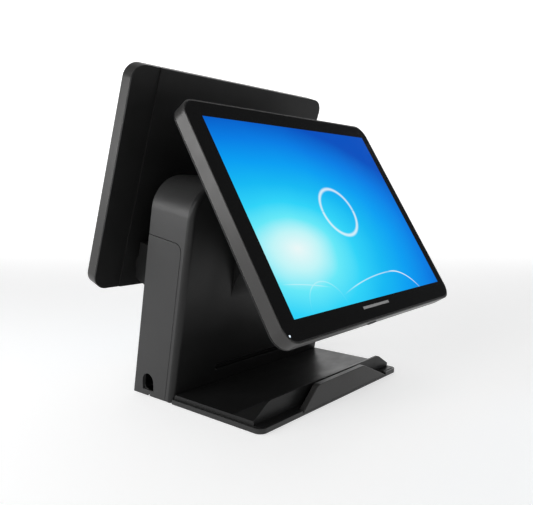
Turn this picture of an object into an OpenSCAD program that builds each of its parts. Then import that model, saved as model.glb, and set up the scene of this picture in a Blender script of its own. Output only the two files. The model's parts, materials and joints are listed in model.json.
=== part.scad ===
// Two-sided point-of-sale touchscreen terminal. Millimetres, +Z up, +Y towards the customer.
// The origin is the middle of the terminal's whole footprint, heads included, on its surface.

/* [Base] */
// Width of the base and of the column
base_w = 282; // [260:1:340]
// Depth of the base, front to rear
base_d = 208; // [185:1:260]
// Corner radius of the base
base_r = 9; // [5:1:14]
// Underside of the base above the surface, which the feet keep
foot_gap = 1.5; // [1:0.5:4]
// Thickness of the base plate's floor
floor_t = 2.5; // [2:0.5:4]
// Height of the gray rim's top edge above the surface
rim_top = 7; // [6:0.5:9]
// Height of the deck's flat top above the surface
deck_top = 12; // [11:0.5:18]
// Height of the ridge's crest above the surface
ridge_top = 27; // [22:1:40]
// Depth of the ramp that climbs to the crest
ramp_run = 28; // [15:1:40]
// Run of the slopes at the ridge's two ends
ridge_slope = 28; // [15:1:50]
// Height of the front lip above the surface
lip_top = 29; // [24:1:42]
// Thickness of the front lip
lip_t = 7.5; // [4:0.5:10]
// Width of the pen groove between the lip and the ridge
groove_w = 6.5; // [5:0.5:12]
// Diameter of a rubber foot
foot_d = 22; // [14:1:30]

/* [Column] */
// Forward lean of the column, degrees
column_lean = 10.4; // [4:0.1:14]
// Depth of the column, square to its face
column_depth = 69.5; // [62:0.5:90]
// Height of the column, along its lean
column_h = 270; // [265:1:320]
// Radius of the column's top corners
column_r = 39.5; // [20:0.5:60]
// Wall of the column shell
shell_wall = 5; // [4.5:0.5:8]
// Depth of the black front cap
cap_depth = 7; // [6:0.5:12]
// Wall of the front cap, the rear cover and the necks
cover_wall = 2.5; // [2:0.5:4]
// Thickness of a side cable cover
side_cover_t = 3; // [2:0.5:3.5]
// Strip of the shell in front of a side cable cover
side_cover_front = 5.5; // [3:0.5:15]
// Top of a side cable cover, below the column's top
side_cover_below = 70; // [45:1:120]
// Width of the cable arch
arch_w = 20; // [12:1:26]
// Height of the cable arch
arch_h = 20; // [12:1:30]
// Length of the speaker slot low on the front
slot_l = 150; // [100:1:180]
// Height of the speaker slot
slot_h = 6.5; // [5:0.5:10]
// Lower edge of the speaker slot, along the column
slot_z = 41; // [32:0.5:44]

/* [Heads] */
// Corner radius of a head
head_r = 18; // [10:1:26]
// Depth of a head's metal band
band_depth = 17.5; // [17:0.5:26]
// Thickness of the cover glass
glass_t = 3; // [2:0.5:3.5]
// Width of the bezel's edge around the glass
bezel_edge = 1.5; // [1:0.1:3]
// Width of the lit area, which 15-inch 4:3 panels share
lit_w = 304.1; // [285:0.1:370]
// Height of the lit area
lit_h = 228.1; // [215:0.1:275]
// Border beside the lit area, out to the edge of the head
side_border = 20.45; // [17:0.05:30]
// Border above and below the lit area
end_border = 20.95; // [17.5:0.05:30]
// Strip of the back beside the raised centre panel
panel_side = 35.5; // [25:0.5:50]
// Height that the rear centre panel stands proud
panel_rise = 2; // [1:0.5:4]
// Lean of the operator's glass from upright, degrees
operator_tilt = 31.6; // [20:0.1:40]
// Lean of the customer's glass from upright, degrees
customer_tilt = 19.7; // [10:0.1:30]

/* [Hinges] */
// Operator hinge axis in front of the column's face
operator_axis_out = 42; // [38:0.5:60]
// Operator hinge axis below the column's top
operator_axis_below = 44.2; // [36:0.1:60]
// Operator hinge axis to the back of the head
operator_reach = 34; // [30:0.5:50]
// Operator head's middle below its hinge axis
operator_drop = 6.2; // [0:0.1:20]
// Customer hinge axis behind the column's rear face
customer_axis_out = 32.8; // [30:0.1:45]
// Customer hinge axis up the column
customer_axis_up = 152.6; // [145:0.1:165]
// Customer hinge axis to the back of the head
customer_reach = 17.3; // [17:0.1:30]
// Customer head's middle above its hinge axis
customer_rise = 98.6; // [80:0.1:105]
// Radius of the operator's hinge shaft
operator_shaft_r = 5; // [3.5:0.5:6]
// Radius of the customer's hinge shaft
customer_shaft_r = 4; // [3:0.5:4.5]

/* [Hidden] */
$fn = 96;

// Colours
shell_gray = [0.24, 0.24, 0.25];
dark_gray = [0.16, 0.16, 0.17];
gloss_black = [0.05, 0.05, 0.06];
satin_metal = [0.42, 0.41, 0.40];
steel = [0.62, 0.64, 0.66];
board_green = [0.06, 0.30, 0.16];
far = 600;

// Clearances
gap = 0.3;
snug = 0.1;
running = 0.05;

// Heads
head_w = lit_w + 2 * side_border;
head_h = lit_h + 2 * end_border;
bezel_wall = 3;
housing_t = 2.2;
// The display stays clear of the bezel's rounded inner corners
bezel_room = 2 * (bezel_edge + bezel_wall);
lcd_w = min(lit_w + 22.4, head_w - bezel_room - 9.5);
lcd_h = min(lit_h + 25.4, head_h - bezel_room - 7.5);
lcd_t = 8;
gasket_t = 0.8;
lcd_front = -glass_t - gasket_t;
lcd_back = lcd_front - lcd_t;
glass_w = head_w - 2 * (bezel_edge + snug);
glass_h = head_h - 2 * (bezel_edge + snug);
panel_w = head_w - 2 * panel_side;
rail_t = 1.2;
rail_half = lcd_h / 2 - 27;
window_w = 190;
window_h = 110;
head_board_w = 150;
head_board_h = 70;
lens_r = 1.2;

// Heights in the base
floor_z = foot_gap + floor_t;
rim_t = 3;
apron_top = rim_top + 0.5;
deck_t = 2.5;

// Hinge axes and the heads' lowest edges, behind the column's rear foot
operator_axis_up = column_h - operator_axis_below;
operator_axis_y = -(column_depth + operator_axis_out) * cos(column_lean) - operator_axis_up * sin(column_lean);
customer_axis_y = customer_axis_out * cos(column_lean) - customer_axis_up * sin(column_lean);
operator_edge_y = operator_axis_y - (operator_drop + head_h / 2) * sin(operator_tilt)
  - (operator_reach + band_depth) * cos(operator_tilt);
customer_edge_y = customer_axis_y + (head_h / 2 - customer_rise) * sin(customer_tilt)
  + (customer_reach + band_depth) * cos(customer_tilt);

// The rear foot of the column, set so that the whole terminal is centred on the origin
rear_y = -(operator_edge_y + customer_edge_y) / 2;
base_y = rear_y - base_d / 2;
front_y = rear_y - base_d;
lip_back = front_y + lip_t;
crest_t = 3;
crest_round = 18;
ridge_front = lip_back + groove_w - 1;
crest_y = ridge_front + crest_t - 1;
column_foot = foot_gap + 0.5;
inner_half = base_w / 2 - shell_wall;
deck_half = base_w / 2 - rim_t - gap;
foot_recess = 1;
screw_r = 2;
screw_head_r = 4;
screw_head_t = 1;
base_screw_x = 60;
base_screw_y = [rear_y - 48, rear_y - 20];

// Steel ballast under the deck, clear of the ridge and of the column
ballast_t = 4;
ballast_y0 = ridge_front + 12;
ballast_y1 = rear_y - column_depth - 14;

// Front lip, which is longer towards the operator's right
lip_foot = [-71, 111];
lip_crest = [-42, 56];
lip_round = 12;
arc_steps = 8;

// Side cable covers
side_cover_d = column_depth - cap_depth - side_cover_front;
side_cover_h = column_h - side_cover_below;
side_cover_r = 10;
arch_y = rear_y - 28;
arch_z = deck_top - 3;
notch_w = 4;

// Outlines on the column run on below its foot, where they are cut off
below_foot = 40;

// Speakers behind the slot, and the mainboard above them
slot_deep = 5;
speaker_half = 11;
speaker_z = slot_z + slot_h / 2 + 6;
board_t = 1.6;
main_w = 165;
main_h = 130;
main_z = speaker_z + speaker_half + 5;
main_y = -column_depth + cap_depth + 2.5;
port_bay = 43.5;
main_x = port_bay + main_w / 2 - inner_half;
port_window_d = 38;
port_window_low = arch_z + 4;
port_window_top = main_z + main_h - 5;
sink_base_t = 3;
chip_t = 3;
fin_t = 12;

// The spine stands behind the mainboard's heat sink
web_t = 3;
web_y = main_y + 30;
web_half = 100;
web_flange = 14;
spine_top = column_h - 18;
cable_hole_z = spine_top - 47;
standoff_l = 6;
power_z = column_h - 82;

// Hinges
cheek_t = 4;
knuckle_t = 5;
washer_t = 1.2;
nut_t = 5;
operator_knuckle = 33.5;
customer_knuckle = 58;
operator_knuckle_r = operator_shaft_r + 4;
customer_knuckle_r = customer_shaft_r + 3.5;
operator_cheek_r = operator_shaft_r + 6;
customer_cheek_r = customer_shaft_r + 4;
cheek_root = 14;
nut_ratio = 3.2;
// How far into a barrel its neck reaches, as a share of its radius
barrel_bite = 0.97;
operator_barrel = operator_shaft_r + 12;
customer_barrel = customer_shaft_r + 7;
operator_neck_w = 128;
customer_neck_w = 245;
neck_start = operator_axis_up - 95.8;
neck_curve = 72;
neck_end = operator_axis_up + 23.2;
// The rear neck above and below its hinge axis: at the column, and at its outer face with that face's reach
customer_neck_root = [-30, 26];
customer_neck_low = [9, -18];
customer_neck_high = [5, 28];
arm_plate_t = 2.5;
tongue_half = 7;
operator_plate_z = operator_reach - panel_rise - arm_plate_t;
customer_plate_z = customer_reach - panel_rise - arm_plate_t;
vesa = 75;
operator_plate = 96;
customer_plate_w = 150;
customer_plate_h = 40;
customer_hole_w = 134;
customer_hole_h = 28;
arm_screw_r = 1.9;
arm_hole_r = 2;

// Power button on the underside of the operator's head
button_x = -19;
button_w = 12;
button_d = 5;
button_l = 6;
button_proud = 1.2;
button_z = -9;
button_gap = 0.15;
spring_l = 2;

// ---------- shared shapes ----------

module rounded_rect(w, h, r) {
  square([w - 2 * r, h], center = true);
  square([w, h - 2 * r], center = true);
  for (x = [-1, 1], y = [-1, 1])
    translate([x * (w / 2 - r), y * (h / 2 - r)])
      circle(r);
}

module slab(w, h, r, z0, z1) {
  translate([0, 0, z0])
    linear_extrude(z1 - z0)
      rounded_rect(w, h, r);
}

module block(x0, x1, y0, y1, z0, z1) {
  translate([x0, y0, z0])
    cube([x1 - x0, y1 - y0, z1 - z0]);
}

// A cylinder along X
module rod(r, x0, x1) {
  translate([x0, 0, 0])
    rotate([0, 90, 0])
      cylinder(h = x1 - x0, r = r);
}

// A flat shape drawn in Y and Z, drawn out along X
module along_x(x0, x1) {
  translate([x0, 0, 0])
    rotate([90, 0, 90])
      linear_extrude(x1 - x0)
        children();
}

// A flat shape drawn in X and Z, drawn out along Y
module along_y(y0, y1) {
  translate([0, y1, 0])
    rotate([90, 0, 0])
      linear_extrude(y1 - y0)
        children();
}

module mirrored() {
  children();
  mirror([1, 0, 0])
    children();
}

// ---------- places ----------

// Frame of the column: Y square to its faces with 0 at the rear, Z along its lean
module on_column() {
  translate([0, rear_y, 0])
    rotate([column_lean, 0, 0])
      children();
}

module at_operator_axis() {
  on_column()
    translate([0, -column_depth - operator_axis_out, operator_axis_up])
      rotate([-column_lean, 0, 0])
        children();
}

module at_customer_axis() {
  on_column()
    translate([0, customer_axis_out, customer_axis_up])
      rotate([-column_lean, 0, 0])
        children();
}

// Frames of the hinge arms: the axis at the origin, Z straight out to the head
module on_operator_arm() {
  at_operator_axis()
    rotate([90 - operator_tilt, 0, 0])
      children();
}

module on_customer_arm() {
  at_customer_axis()
    rotate([0, 0, 180])
      rotate([90 - customer_tilt, 0, 0])
        children();
}

// Frames of the heads: the middle of the glass at the origin, Z out of the glass, Y up it
module on_operator_head() {
  on_operator_arm()
    translate([0, -operator_drop, operator_reach + band_depth])
      children();
}

module on_customer_head() {
  on_customer_arm()
    translate([0, customer_rise, customer_reach + band_depth])
      children();
}

// Everything above a height
module above(z) {
  block(-far, far, -far, far, z, far);
}

// The room that the column takes up, grown by a clearance at its front
module column_room(clear) {
  on_column()
    block(-far, far, -column_depth - clear, far, -far, far);
}

// ---------- base ----------

module base_outline(inset) {
  translate([0, base_y])
    rounded_rect(base_w - 2 * inset, base_d - 2 * inset, base_r - min(inset, base_r - 2));
}

// Points of an arc about a centre, from one angle to another
function arc(centre, r, from, to) = [for (i = [0:arc_steps])
  centre + r * [cos(from + (to - from) * i / arc_steps), sin(from + (to - from) * i / arc_steps)]];

// A low wall's outline, given the two ends of its foot and of its crest, with the crest's ends rounded
module crest_outline(foot, crest, foot_z, crest_z, r) {
  rise = crest_z - foot_z;
  left = atan(rise / (crest[0] - foot[0]));
  right = atan(rise / (foot[1] - crest[1]));
  centre = crest_z - r;
  polygon(concat([[foot[0], foot_z], [foot[1], foot_z]],
    arc([crest[1] - r * tan(right / 2), centre], r, 90 - right, 90),
    arc([crest[0] + r * tan(left / 2), centre], r, 90, 90 + left)));
}

module lip_shape() {
  crest_outline(lip_foot, lip_crest, floor_z, lip_top, lip_round);
}

module base_plate() {
  color(dark_gray)
    difference() {
      union() {
        difference() {
          translate([0, 0, foot_gap])
            linear_extrude(rim_top - foot_gap)
              base_outline(0);
          translate([0, 0, floor_z])
            linear_extrude(far)
              base_outline(rim_t);
          column_room(snug);
          block(lip_foot[0] - gap, lip_foot[1] + gap, front_y - 1, front_y + rim_t + 1, floor_z, far);
        }
        block(-inner_half + gap, inner_half - gap, base_y, rear_y - 4, foot_gap, floor_z);
      }
      foot_places()
        cylinder(h = foot_gap + foot_recess, r = foot_d / 2 + snug);
      base_screw_places() {
        cylinder(h = far, r = screw_r + 2 * snug);
        cylinder(h = foot_gap + screw_head_t, r = screw_head_r + 2 * snug);
      }
    }
}

module foot_places() {
  for (x = [-1, 1], y = [-1, 1])
    translate([x * (base_w / 2 - 28), base_y + y * (base_d / 2 - 24), 0])
      children();
}

module base_screw_places() {
  for (x = [-base_screw_x, base_screw_x], y = base_screw_y)
    translate([x, y, 0])
      children();
}

module rubber_feet() {
  color([0.07, 0.07, 0.07])
    foot_places()
      cylinder(h = foot_gap + foot_recess, r = foot_d / 2);
}

module base_screws() {
  color(steel)
    base_screw_places()
      translate([0, 0, foot_gap]) {
        cylinder(h = screw_head_t, r = screw_head_r);
        cylinder(h = floor_t + web_t + 2.5, r = screw_r);
      }
}

module ballast_plate() {
  color(steel)
    translate([0, (ballast_y0 + ballast_y1) / 2, 0])
      slab(base_w - 70, ballast_y1 - ballast_y0, 6, floor_z, floor_z + ballast_t);
}

// The deck's outside at a wall inside its skin: 0 is the skin itself
module deck_body(wall) {
  side = deck_half - wall;
  top = deck_top - wall;
  crest = ridge_top - wall;
  crest_half = base_w / 2 - ridge_slope - wall;
  ridge_y0 = ridge_front + wall;
  ramp_y1 = crest_y + ramp_run;
  foot = wall > 0 ? -1 : floor_z;
  block(-side, side, ridge_y0, rear_y, foot, top);
  intersection() {
    along_x(-side, side)
      polygon([[ridge_y0, foot], [ridge_y0 + 0.4, crest], [ridge_front + crest_t, crest],
        [ramp_y1, top], [ramp_y1, foot]]);
    along_y(-far, far)
      union() {
        translate([-side, foot])
          square([2 * side, top - foot]);
        crest_outline([-side, side], [-crest_half, crest_half], top, crest, crest_round);
      }
  }
}

module base_deck() {
  color(gloss_black)
    difference() {
      intersection() {
        union() {
          deck_body(0);
          block(-far, far, front_y, ridge_front + deck_t, floor_z, apron_top);
        }
        translate([0, 0, -1])
          linear_extrude(far)
            base_outline(rim_t + gap);
      }
      deck_body(deck_t);
      column_room(gap);
      block(lip_foot[0] - gap, lip_foot[1] + gap, front_y - 1, lip_back + snug, 0, far);
      block(deck_t - deck_half, deck_half - deck_t, front_y, ridge_front - 2, -1, floor_z + 0.6);
    }
}

module front_lip() {
  color(satin_metal)
    along_y(front_y, lip_back)
      lip_shape();
}

// ---------- column ----------

module arch_outline(inset, top_inset) {
  half = base_w / 2 - inset;
  r = column_r - inset;
  top = column_h - top_inset;
  translate([-half, -below_foot])
    square([2 * half, top + below_foot - r]);
  translate([-half + r, -below_foot])
    square([2 * (half - r), top + below_foot]);
  for (x = [-1, 1])
    translate([x * (half - r), top - r])
      circle(r);
}

// A slice of the column's outline between two depths from its rear face
module column_slice(inset, y0, y1) {
  along_y(y0, y1)
    arch_outline(inset, inset);
}

module side_cover_outline(clear) {
  d = side_cover_d + clear;
  h = side_cover_h + clear;
  r = side_cover_r;
  translate([-d + r, -below_foot])
    square([d - r + (clear > 0 ? 1 : 0), h + below_foot]);
  translate([-d, -below_foot])
    square([d, h + below_foot - r]);
  translate([-d + r, h - r])
    circle(r);
}

module arch_hole() {
  translate([arch_y - arch_w / 2, arch_z])
    square([arch_w, arch_h - arch_w / 2]);
  translate([arch_y, arch_z + arch_h - arch_w / 2])
    circle(arch_w / 2);
}

module column_shell() {
  color(shell_gray)
    intersection() {
      on_column()
        difference() {
          column_slice(0, -column_depth + cap_depth, 0);
          column_slice(shell_wall, -column_depth, 1);
          mirrored()
            along_x(base_w / 2 - side_cover_t - gap, far)
              side_cover_outline(gap);
          mirrored()
            along_x(0, far)
              translate([-side_cover_d / 2 - 5, (port_window_low + port_window_top) / 2])
                rounded_rect(port_window_d, port_window_top - port_window_low, 6);
        }
      above(column_foot);
    }
}

module side_cover() {
  difference() {
    intersection() {
      on_column()
        along_x(base_w / 2 - side_cover_t, base_w / 2)
          side_cover_outline(0);
      above(column_foot);
    }
    along_x(0, far)
      arch_hole();
    block(0, far, arch_y - 1 - notch_w / 2, arch_y - 1 + notch_w / 2, 0, column_foot + 2);
  }
}

module side_cover_right() {
  color(shell_gray)
    side_cover();
}

module side_cover_left() {
  color(shell_gray)
    mirror([1, 0, 0])
      side_cover();
}

// The speaker slot with its round ends, grown by a wall
module slot_room(wall) {
  along_y(-column_depth - 1 + wall, -column_depth + slot_deep + wall)
    translate([0, slot_z + slot_h / 2])
      rounded_rect(slot_l + 2 * wall, slot_h + 2 * wall, slot_h / 2 + wall - 0.01);
}

module column_front() {
  color(gloss_black)
    difference() {
      intersection() {
        on_column()
          difference() {
            column_slice(0, -column_depth, -column_depth + cap_depth);
            difference() {
              column_slice(cover_wall, -column_depth + cover_wall, far);
              slot_room(1.5);
            }
            slot_room(0);
            block(-operator_neck_w / 2 + 8, operator_neck_w / 2 - 8, -far, far,
              neck_start + 25, neck_end - 9);
          }
        above(column_foot);
      }
      block(-inner_half, inner_half, -far, far, 0, deck_top + snug);
    }
}

module column_rear() {
  color(gloss_black)
    intersection() {
      on_column()
        difference() {
          column_slice(shell_wall + gap, -cover_wall, 0);
          block(-customer_neck_w / 2 + 10, customer_neck_w / 2 - 10, -far, far,
            customer_axis_up + customer_neck_root[0] + 6, customer_axis_up + customer_neck_root[1] - 4);
        }
      above(column_foot);
    }
}

// ---------- spine and necks ----------

module spine() {
  color(steel)
    difference() {
      union() {
        intersection() {
          on_column() {
            block(-web_half, web_half, web_y, web_y + web_t, 0, spine_top);
            mirrored()
              block(web_half - web_t, web_half, web_y, web_y + web_flange, 0, spine_top);
          }
          above(floor_z);
        }
        block(-web_half, web_half, base_screw_y[0] - 8, base_screw_y[1] + 8, floor_z, floor_z + web_t);
      }
      base_screw_places()
        cylinder(h = floor_z + web_t + 1, r = screw_r + snug);
      on_column()
        for (x = [-70, 0, 70])
          translate([x, 0, cable_hole_z])
            rotate([90, 0, 0])
              cylinder(h = 60, r = 9);
    }
}

// The front neck's body in the column's frame, inside its skin by a wall
module operator_neck_body(wall) {
  face = -column_depth;
  axis = [face - operator_axis_out, operator_axis_up];
  half = operator_neck_w / 2 - wall;
  r = operator_barrel - wall;
  curve = neck_curve + wall;
  mid = [face - neck_curve + curve * cos(45), neck_start + curve * sin(45)];
  rear = wall > 0 ? face + 1 : face;
  touch = r * barrel_bite;
  difference() {
    along_x(-half, half)
      polygon([[rear, neck_start], mid, axis - [touch, touch] * sqrt(0.5), axis + [0, touch],
        [rear, neck_end - wall]]);
    translate([0, face - neck_curve, neck_start])
      rod(curve, -far, far);
  }
  translate([0, axis[0], axis[1]])
    rod(r, -half, half);
}

module operator_neck() {
  color(gloss_black)
    difference() {
      on_column()
        difference() {
          operator_neck_body(0);
          operator_neck_body(cover_wall);
        }
      on_operator_arm()
        block(-46, 46, -operator_knuckle_r - 4, operator_knuckle_r + 4, 1, far);
    }
}

// The rear neck's outline, inside its skin by a wall
module customer_neck_outline(wall) {
  axis = [customer_axis_out, customer_axis_up];
  base = wall > 0 ? -0.01 : 0;
  polygon([[base, axis[1] + customer_neck_root[0] + wall], axis + customer_neck_low + [-wall, wall],
    axis + customer_neck_high - [wall, wall], [base, axis[1] + customer_neck_root[1] - wall]]);
  translate(axis)
    circle(customer_barrel - wall);
}

module customer_neck() {
  color(gloss_black)
    difference() {
      on_column()
        difference() {
          along_x(-customer_neck_w / 2, customer_neck_w / 2)
            customer_neck_outline(0);
          along_x(-customer_neck_w / 2 + cover_wall, customer_neck_w / 2 - cover_wall)
            customer_neck_outline(cover_wall);
        }
      on_customer_arm()
        block(-78, 78, -customer_knuckle_r - 2, customer_knuckle_r + 2, 1, far);
    }
}

// A fixed cheek: a plate from the spine's web to a ring around the hinge axis
module cheek_shape(axis, r, root_y) {
  polygon([[root_y, axis[1] - cheek_root], [axis[0], axis[1] - r], [axis[0], axis[1] + r],
    [root_y, axis[1] + cheek_root]]);
  translate(axis)
    circle(r);
}

module operator_bracket() {
  axis = [-column_depth - operator_axis_out, operator_axis_up];
  inner = operator_knuckle + knuckle_t + washer_t + 2 * snug;
  color(steel)
    on_column()
      difference() {
        union() {
          block(-60, 60, web_y - web_t, web_y, axis[1] - cheek_root - 2, axis[1] + cheek_root + 2);
          mirrored()
            along_x(inner, inner + cheek_t)
              cheek_shape(axis, operator_cheek_r, web_y - web_t);
        }
        translate([0, axis[0], axis[1]])
          rod(operator_shaft_r, -far, far);
      }
}

module customer_bracket() {
  axis = [customer_axis_out, customer_axis_up];
  inner = customer_knuckle + knuckle_t + washer_t + 2 * snug;
  color(steel)
    on_column()
      difference() {
        union() {
          block(-85, 85, web_y + web_t, web_y + 2 * web_t, axis[1] - cheek_root - 2,
            axis[1] + cheek_root + 2);
          mirrored()
            along_x(inner, inner + cheek_t)
              cheek_shape(axis, customer_cheek_r, web_y + 2 * web_t);
        }
        translate([0, axis[0], axis[1]])
          rod(customer_shaft_r, -far, far);
      }
}

function shaft_half(knuckle) = knuckle + knuckle_t + washer_t + 2 * snug + cheek_t + nut_t + 1.5;

module operator_shaft() {
  half = shaft_half(operator_knuckle);
  color(steel)
    at_operator_axis()
      rod(operator_shaft_r, -half, half);
}

module customer_shaft() {
  half = shaft_half(customer_knuckle);
  color(steel)
    at_customer_axis()
      rod(customer_shaft_r, -half, half);
}

// The friction washers on one shaft, between the moving knuckles and the fixed cheeks
module washer_pair(knuckle, shaft_r, r) {
  x = knuckle + knuckle_t + snug;
  mirrored()
    difference() {
      rod(r, x, x + washer_t);
      rod(shaft_r + 0.02, x - 1, x + washer_t + 1);
    }
}

module hinge_washers() {
  color([0.75, 0.60, 0.30]) {
    at_operator_axis()
      washer_pair(operator_knuckle, operator_shaft_r, operator_knuckle_r - 1);
    at_customer_axis()
      washer_pair(customer_knuckle, customer_shaft_r, customer_knuckle_r - 1);
  }
}

module nut_pair(knuckle, shaft_r) {
  x = knuckle + knuckle_t + washer_t + 2 * snug + cheek_t;
  mirrored()
    difference() {
      translate([x, 0, 0])
        rotate([0, 90, 0])
          cylinder(h = nut_t, r = nut_ratio * shaft_r / sqrt(3), $fn = 6);
      rod(shaft_r, x - 1, x + nut_t + 1);
    }
}

module hinge_nuts() {
  color(steel) {
    at_operator_axis()
      nut_pair(operator_knuckle, operator_shaft_r);
    at_customer_axis()
      nut_pair(customer_knuckle, customer_shaft_r);
  }
}

// ---------- electronics in the column ----------

module mainboard() {
  color(board_green)
    on_column()
      translate([main_x, main_y, main_z]) {
        block(-main_w / 2, main_w / 2, 0, board_t, 0, main_h);
        block(-20, 20, board_t, board_t + chip_t, 45, 85);
        block(30, 48, board_t, board_t + 2, 20, 38);
        block(52, 70, board_t, board_t + 10, 85, 120);
        for (z = [12, 22, 100, 112])
          translate([-58, 0, z])
            block(-5, 5, board_t, board_t + 7, -3, 3);
      }
}

module heat_sink() {
  color([0.35, 0.36, 0.38])
    on_column()
      translate([main_x, main_y + board_t + chip_t, main_z + 65]) {
        block(-32, 32, 0, sink_base_t, -30, 30);
        for (i = [0 : 10])
          translate([-32 + i * 6.2, 0, 0])
            block(0, 2, sink_base_t - snug, sink_base_t + fin_t, -30, 30);
      }
}

module memory_module() {
  color([0.05, 0.22, 0.12])
    on_column()
      translate([main_x, main_y + board_t, main_z + 8]) {
        block(-40, 28, 0, 5, -4, -1);
        for (x = [-36, -22, -8, 6])
          translate([x, 0, 0])
            block(0, 11, 1.4, 2.6, -1, 4);
        block(-39, 27, 2.6, 4, -1, 8);
      }
}

// Ports along the board's left edge, which face the side cable cover
module io_connectors() {
  ports = [[8, 14, 15], [26, 13, 7], [42, 13, 7], [58, 16, 14], [78, 31, 12], [113, 10, 10]];
  color([0.70, 0.70, 0.72])
    on_column()
      translate([main_x - main_w / 2, main_y + board_t, main_z])
        for (p = ports)
          difference() {
            block(-4, 14, 0, p[2], p[0], p[0] + p[1]);
            block(-5, 6, 1, p[2] - 1, p[0] + 1, p[0] + p[1] - 1);
          }
}

module drive() {
  color([0.30, 0.31, 0.33])
    on_column()
      block(-50, 50, web_y + web_t, web_y + web_t + 7, 36, 106);
}

module power_board() {
  color(board_green)
    on_column()
      translate([0, web_y + web_t + standoff_l, power_z]) {
        block(-60, 60, 0, board_t, 0, 46);
        block(-50, -26, board_t, board_t + 9, 8, 34);
        block(20, 30, board_t, board_t + 9, 10, 36);
        block(36, 50, board_t, board_t + 6, 12, 32);
      }
}

module standoff_at(x, z, y0, y1) {
  translate([x, y1, z])
    rotate([90, 0, 0])
      cylinder(h = y1 - y0, r = 2.5);
}

module standoffs() {
  color([0.75, 0.60, 0.30])
    on_column() {
      for (x = [-main_w / 2 + 22, main_w / 2 - 6], z = [main_z + 4, main_z + main_h - 4])
        standoff_at(main_x + x, z, main_y + board_t, web_y);
      for (x = [-56, 56], z = [power_z + 4, power_z + 42])
        standoff_at(x, z, web_y + web_t, web_y + web_t + standoff_l);
    }
}

module speakers() {
  color([0.10, 0.10, 0.11])
    on_column()
      for (x = [-45, 45])
        translate([x, -column_depth + cap_depth + gap, speaker_z])
          difference() {
            block(-2 * speaker_half, 2 * speaker_half, 0, 12, -speaker_half, speaker_half);
            rotate([90, 0, 0])
              translate([0, 0, -3])
                cylinder(h = 4, r = 9);
          }
}

// ---------- heads, each in its own frame ----------

module head_glass() {
  color(gloss_black)
    slab(glass_w, glass_h, head_r - bezel_edge, -glass_t, 0);
}

module head_gasket() {
  color([0.12, 0.12, 0.12])
    difference() {
      slab(lcd_w, lcd_h, 2, -glass_t - gasket_t, -glass_t);
      slab(lit_w + 1, lit_h + 1, 1, -far, far);
    }
}

module head_lcd() {
  color([0.10, 0.40, 0.75])
    slab(lcd_w, lcd_h, 2, lcd_back, lcd_front);
}

// Steel rails that clamp the display at its two sides
module head_rails() {
  color(steel)
    mirrored()
      difference() {
        block(lcd_w / 2 - 12, lcd_w / 2 + 2.5, -rail_half, rail_half, lcd_back - rail_t, lcd_back + 5);
        block(-far, lcd_w / 2 + 0.1, -far, far, lcd_back, far);
      }
}

module head_bezel() {
  depth = band_depth - housing_t;
  color(satin_metal)
    difference() {
      slab(head_w, head_h, head_r, -depth, 0);
      slab(head_w - 2 * bezel_edge, head_h - 2 * bezel_edge, head_r - bezel_edge, -glass_t, far);
      slab(head_w - 2 * bezel_edge - 2 * bezel_wall, head_h - 2 * bezel_edge - 2 * bezel_wall,
        head_r - bezel_edge - bezel_wall, -far, far);
    }
}

module head_housing() {
  color(gloss_black)
    difference() {
      slab(head_w, head_h, head_r, -band_depth, -band_depth + housing_t);
      slab(window_w, window_h, 4, -far, far);
    }
}

module head_panel() {
  color(gloss_black)
    difference() {
      slab(panel_w, head_h - 1, 2, -band_depth - panel_rise, -band_depth);
      slab(window_w - 6, window_h - 6, 3, -band_depth - panel_rise + 1.2, far);
    }
}

module head_board() {
  color(board_green) {
    block(-head_board_w / 2, head_board_w / 2, -head_board_h / 2, head_board_h / 2,
      lcd_back - rail_t - 1, lcd_back - 1);
    block(-20, 4, -12, 12, lcd_back - 3.6, lcd_back - 2.2);
    block(40, 60, -30, -22, lcd_back - 4.2, lcd_back - 2.2);
    block(-60, -44, 12, 26, lcd_back - 3.8, lcd_back - 2.2);
  }
}

// Screws from the arm's plate through the panel into the housing
module arm_screws(w, h, z) {
  for (x = [-w / 2, w / 2], y = [-h / 2, h / 2])
    translate([x, y, z]) {
      cylinder(h = arm_plate_t + panel_rise + housing_t, r = arm_screw_r);
      translate([0, 0, -1.8])
        cylinder(h = 1.8, r = 3.6);
    }
}

// Two knuckles on a plate, with the hinge axis at the origin
module hinge_arm(knuckle, r, shaft_r, plate_z, plate_w, plate_h) {
  color(steel)
    difference() {
      union() {
        slab(plate_w, plate_h, 4, plate_z, plate_z + arm_plate_t);
        mirrored()
          along_x(knuckle, knuckle + knuckle_t) {
            circle(r);
            translate([-tongue_half, 0])
              square([2 * tongue_half, plate_z + 1]);
          }
      }
      rod(shaft_r + running, -far, far);
    }
}

// ---------- operator head ----------

module operator_glass() {
  color(gloss_black)
    on_operator_head()
      difference() {
        head_glass();
        lens_place()
          cylinder(h = 20, r = lens_r + snug, center = true);
      }
}

module lens_place() {
  translate([-(lcd_w / 2 + lens_r + 1), -(head_h / 2 - 9.5), 0])
    children();
}

module status_lens() {
  color([0.85, 0.95, 1.0])
    on_operator_head()
      lens_place()
        translate([0, 0, -glass_t])
          cylinder(h = glass_t, r = lens_r);
}

module operator_gasket() {
  on_operator_head()
    head_gasket();
}

module operator_lcd() {
  on_operator_head()
    head_lcd();
}

module operator_rails() {
  on_operator_head()
    head_rails();
}

module button_room(clear) {
  y0 = -head_h / 2 - far;
  block(button_x - button_w / 2 - clear, button_x + button_w / 2 + clear, y0, -head_h / 2 + 10,
    button_z - button_d / 2 - clear, button_z + button_d / 2 + clear);
}

module operator_bezel() {
  color(satin_metal)
    on_operator_head()
      difference() {
        head_bezel();
        button_room(button_gap);
      }
}

module operator_housing() {
  color(gloss_black)
    on_operator_head()
      difference() {
        head_housing();
        translate([0, operator_drop, 0])
          arm_holes(vesa, vesa);
      }
}

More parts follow.
